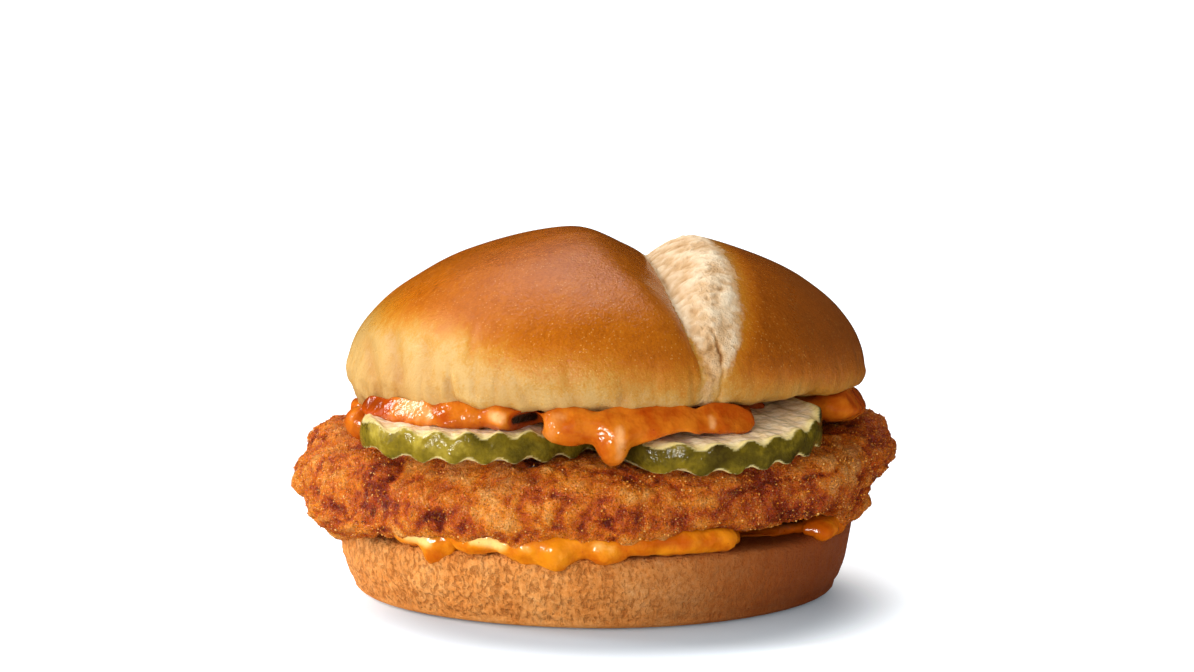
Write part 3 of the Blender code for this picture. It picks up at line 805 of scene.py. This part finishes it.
def makeSauce(side):
    look = sauceLook[side]
    sauce = copyOfNode("sauce_" + side, "sauce_" + side + "_melted")
    parts = [sauce]
    for x, y, z, wide, deep, high in look["lumps"]:
        bpy.ops.object.select_all(action="DESELECT")
        bpy.ops.mesh.primitive_uv_sphere_add(segments=24, ring_count=14, radius=1.0)
        lump = bpy.context.object
        turn = Matrix.Rotation(math.atan2(y, x) + math.pi / 2, 4, "Z")
        size = Matrix.Diagonal((wide * mm, deep * mm, high * mm, 1))
        lump.data.transform(Matrix.Translation((x * mm, y * mm, z * mm)) @ turn @ size)
        parts.append(lump)
    bpy.ops.object.select_all(action="DESELECT")
    for part in parts:
        part.select_set(True)
    bpy.context.view_layer.objects.active = sauce
    bpy.ops.object.join()
    resurface(sauce, sauceLook["grain"], 3)
    p, n = pointsOf(sauce), normalsOf(sauce)
    p = p + n * sauceLook["swell"]
    for start, end, top, stays in look["lifts"]:
        here = ease(start - 2, start + 1, p[:, 0] / mm) * (1 - ease(end - 1, end + 2, p[:, 0] / mm))
        here *= ease(-2, -8, p[:, 1] / mm)
        below = np.clip(top * mm - p[:, 2], 0, None)
        p[:, 2] += below * (1 - stays) * here
    for x, z, wide, high, deep in look["holes"]:
        near = ((p[:, 0] / mm - x) / wide) ** 2 + ((p[:, 2] / mm - z) / high) ** 2
        share = ease(1.5, 0.5, near) * ease(-28, -34, p[:, 1] / mm)
        p[:, :2] *= (1 - deep * mm * share / np.hypot(p[:, 0], p[:, 1]).clip(1 * mm))[:, None]
    for middle, moved, top, bottom, share in look["tongues"]:
        drawn = ease(top, bottom, p[:, 2] / mm) * (np.abs(p[:, 0] / mm - middle) < 9)
        p[:, 0] += drawn * ((moved * mm + (p[:, 0] - middle * mm) * share) - p[:, 0])
    distance, height, slope = look["face"]
    radius = np.hypot(p[:, 0], p[:, 1])
    beyond = radius - (distance + slope * (height - p[:, 2] / mm)) * mm
    p[:, :2] *= (1 - sauceLook["pressed"] * np.clip(beyond, 0, None) / radius.clip(1 * mm))[:, None]
    putPoints(sauce, p)
    work(sauce, "SMOOTH", factor=0.5, iterations=12)
    p, n = pointsOf(sauce), normalsOf(sauce)
    ripple = look["ripple"] * (lumpy(p, 4.4 * mm, 3.0) + 0.5 * lumpy(p, 2.1 * mm, 5.0))
    putPoints(sauce, p + n * ripple[:, None])
    paint(sauce, "tint", sum(amount * stroke(p, path, width) for path, width, amount in look["tints"]))
    settle(sauce, "sauce_" + side, sauceMaterial(side))


def sauceMaterial(side):
    look = sauceLook[side]
    r = Recipe("sauce" + side.title(), Specular_IOR_Level=look["shine"], Subsurface_Weight=0.1,
               Subsurface_Radius=(1.0, 0.35, 0.08), Subsurface_Scale=1.2 * mm)
    tint = r.painted("tint")
    tone = r.grain(5 * mm, 4, 0.6) * 1.6 - 0.3 + tint * 0.5
    base = r.mix(r.band(tone, 0.1, 0.9), shade(look["deep"]), shade(look["bright"]))
    # paler sauce and painted highlights where the tint is high
    base = r.mix(r.band(tint + (r.grain(2 * mm) - 0.5), 0.3, 1.5) * 0.8, base, shade(look["pale"]))
    flecks = r.band(r.dots(1.7 * mm), 0.13, 0.06) * r.band(r.grain(3 * mm), 0.5, 0.6)
    base = r.mix(flecks * 0.75, base, shade("8c2406"))
    # painted shade: near black where the tint is lowest, in the hole and the gap above the heel's rim
    r.feed("Base Color", r.mix(r.band(tint, -1.0, -2.6), base, shade("1c0801")))
    r.feed("Roughness", 0.05 + r.grain(2.0 * mm, 2) * 0.2)
    r.feed("Normal", r.bump(r.grain(1.9 * mm, 2, 0.5), 0.38 * mm))
    return r.material


# floor, light and camera
studioLook = {
    "floor": ("b8c2ca", "bac4cc"),
    # the floor's own glow, dim under the burger as a painted shadow and full on the open floor, and where
    # it changes
    "glow": ("585e62", "e6e6e6"),
    "paintedShadowAt": (0.005, -0.021, 0),
    "paintedShadowFrom": 38 * mm,
    "paintedShadowTo": 60 * mm,
    # how bright the white room is for surfaces, for the camera and in reflections
    "room": (("Is Diffuse Ray", 0.34), ("Is Camera Ray", 1.15)),
    "mirrored": 0.20,
    # soft boxes: name, place, size, power
    "panels": (
        ("keyPanel", (-0.73, 0.12, 0.58), (0.22, 0.22), 4.0),
        ("leftPanel", (-0.80, 0.10, 0.20), (0.50, 0.30), 0.9),
        ("glintPanel", (-0.50, -0.70, 0.08), (0.17, 0.20), 7.0),
        ("topPanel", (-0.09, 0.33, 0.73), (0.46, 0.42), 3.0),
    ),
    # wide soft suns: name, direction, strength, spread in degrees
    "suns": (
        ("softTop", (-0.25, 0.25, 0.90), 0.4, 70),
        ("softKey", (-0.85, -0.35, 0.34), 1.8, 50),
        ("softFill", (-0.30, -0.93, 0.18), 2.3, 60),
    ),
    # the photo's view: how far the camera stands, how high, and what it looks at
    "lens": 84.25,
    "distance": 0.56,
    "height": math.radians(7.8),
    "middle": Vector((0, 0, 0.035)),
    "aim": Vector((0, 0, 0.0496)),
}


def makeStudio():
    look = studioLook
    bpy.ops.object.select_all(action="DESELECT")
    bpy.ops.mesh.primitive_plane_add(size=8.0, location=(0, 0, 0))
    floor = bpy.context.object
    floor.name = "studioFloor"
    r = Recipe("floorPaper", Roughness=0.9, Specular_IOR_Level=0.1, Emission_Strength=1.0)
    # painted shadow: the floor glows less near the burger
    shifted = r.node("ShaderNodeVectorMath", {"operation": "SUBTRACT"}, {0: r.place, 1: look["paintedShadowAt"]})
    length = r.node("ShaderNodeVectorMath", {"operation": "LENGTH"}, {0: shifted.outputs[0]})
    away = r.band(Number(r, length.outputs["Value"]), look["paintedShadowFrom"], look["paintedShadowTo"])
    r.feed("Base Color", r.ramp(r.grain(0.4), *enumerate(look["floor"])))
    r.feed("Emission Color", r.ramp(away, *enumerate(look["glow"])))
    floor.data.materials.append(r.material)
    floor.visible_glossy = False

    world = bpy.data.worlds.new("studio")
    bpy.context.scene.world = world
    world.use_nodes = True
    nodes, links = world.node_tree.nodes, world.node_tree.links
    path = nodes.new("ShaderNodeLightPath")
    # white behind the burger, soft light on surfaces, and little of either in reflections
    shown = nodes["Background"]
    shown.inputs["Strength"].default_value = look["mirrored"]
    for ray, strength in look["room"]:
        glow = nodes.new("ShaderNodeBackground")
        glow.inputs["Color"].default_value = (1, 1, 1, 1)
        glow.inputs["Strength"].default_value = strength
        blend = nodes.new("ShaderNodeMixShader")
        links.new(path.outputs[ray], blend.inputs[0])
        links.new(shown.outputs[0], blend.inputs[1])
        links.new(glow.outputs[0], blend.inputs[2])
        shown = blend
    links.new(shown.outputs[0], nodes["World Output"].inputs["Surface"])

    for name, place, size, power in look["panels"]:
        addPanel(name, place, size, power)
    bpy.data.objects["glintPanel"].visible_diffuse = False  # for wet glints alone
    for name, place, strength, spread in look["suns"]:
        addSun(name, place, strength, spread)

    camera = bpy.data.objects.new("camera", bpy.data.cameras.new("camera"))
    bpy.context.scene.collection.objects.link(camera)
    camera.data.sensor_width = 36
    camera.data.lens = look["lens"]
    away = Vector((0, -math.cos(look["height"]), math.sin(look["height"])))
    camera.location = look["middle"] + away * look["distance"]
    camera.rotation_mode = "QUATERNION"
    camera.rotation_quaternion = (look["aim"] - camera.location).to_track_quat("-Z", "Y")
    bpy.context.scene.camera = camera
    bpy.context.scene.view_settings.view_transform = "Standard"


def hang(light, place):
    # a lamp turned to the burger's middle
    lamp = bpy.data.objects.new(light.name, light)
    bpy.context.scene.collection.objects.link(lamp)
    lamp.location = place
    lamp.rotation_euler = (studioLook["middle"] - lamp.location).to_track_quat("-Z", "Y").to_euler()
    return lamp


def addSun(name, place, strength, spread):
    # light on surfaces alone, with no reflection of its own
    light = bpy.data.lights.new(name, "SUN")
    light.energy = strength
    light.angle = math.radians(spread)
    hang(light, place).visible_glossy = False


def addPanel(name, place, size, power):
    light = bpy.data.lights.new(name, "AREA")
    light.shape = "RECTANGLE"
    light.size, light.size_y = size
    light.energy = power
    hang(light, place)


makeStudio()
print("studio done")
makeHeel()
makeCrown()
fillet = makeFillet()
scatterGrains(fillet)
green = pickleMaterial()
for side in pickleLook["slices"]:
    makePickle(side, green)
for side in ("upper", "lower"):
    makeSauce(side)
